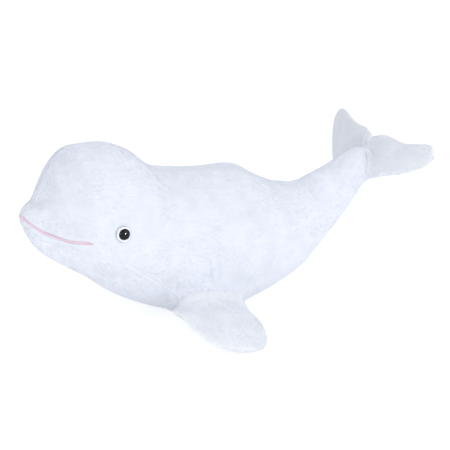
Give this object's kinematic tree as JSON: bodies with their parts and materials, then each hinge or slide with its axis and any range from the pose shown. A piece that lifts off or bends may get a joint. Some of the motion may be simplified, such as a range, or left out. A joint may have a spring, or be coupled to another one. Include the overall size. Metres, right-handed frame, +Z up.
{
  "type": "plush whale",
  "caption": "White plush whale with a rounded forehead, short beak, stitched mouth, bead eyes, hinged flippers and a lobed tail fluke; it lies on its belly.",
  "frame": {"origin": "on the surface it lies on, at the middle of the toy's length and width", "axes": "-X towards the head, -Y towards the whale's left side, +Z up"},
  "size_m": [0.4684, 0.3116, 0.21],
  "materials": {
    "white_plush": "short white pile",
    "polyester_stuffing": "loose polyester fibre",
    "mouth_thread": "satin stitch",
    "black_eye": "polished",
    "clear_rim": "satin",
    "washer_plastic": "moulded"
  },
  "bodies": {
    "torso": {"side_panel_left": "white_plush", "side_panel_right": "white_plush", "belly_panel": "white_plush", "head_stuffing": "polyester_stuffing", "trunk_stuffing": "polyester_stuffing", "rear_stuffing": "polyester_stuffing", "tail_stuffing": "polyester_stuffing", "mouth_stitch": "mouth_thread", "eye_left": "black_eye", "eye_right": "black_eye", "eye_rim_left": "clear_rim", "eye_rim_right": "clear_rim", "eye_washer_left": "washer_plastic", "eye_washer_right": "washer_plastic"},
    "flipper_left": {"flipper_left_upper_panel": "white_plush", "flipper_left_lower_panel": "white_plush", "flipper_left_stuffing": "polyester_stuffing"},
    "flipper_right": {"flipper_right_upper_panel": "white_plush", "flipper_right_lower_panel": "white_plush", "flipper_right_stuffing": "polyester_stuffing"},
    "fluke_left": {"fluke_left_upper_panel": "white_plush", "fluke_left_lower_panel": "white_plush", "fluke_left_stuffing": "polyester_stuffing"},
    "fluke_right": {"fluke_right_upper_panel": "white_plush", "fluke_right_lower_panel": "white_plush", "fluke_right_stuffing": "polyester_stuffing"}
  },
  "joints": [
    {"name": "flipper_left_root", "type": "hinge", "parent": "torso", "child": "flipper_left", "pos_m": [-0.04087, -0.05451, 0.03246], "axis": [-0.962, -0.0813, 0.2607], "range_deg": [-20, 25], "stiffness_Nm_per_rad": 0.3},
    {"name": "flipper_right_root", "type": "hinge", "parent": "torso", "child": "flipper_right", "pos_m": [-0.04087, 0.05451, 0.03246], "axis": [0.962, -0.0813, -0.2607], "range_deg": [-20, 25], "stiffness_Nm_per_rad": 0.3},
    {"name": "fluke_left_root", "type": "hinge", "parent": "torso", "child": "fluke_left", "pos_m": [0.20464, -0.00937, 0.15239], "axis": [-0.3453, 0, -0.9385], "range_deg": [-30, 30], "stiffness_Nm_per_rad": 0.15},
    {"name": "fluke_right_root", "type": "hinge", "parent": "torso", "child": "fluke_right", "pos_m": [0.20464, 0.00937, 0.15239], "axis": [0.3453, 0, 0.9385], "range_deg": [-30, 30], "stiffness_Nm_per_rad": 0.15}
  ]
}
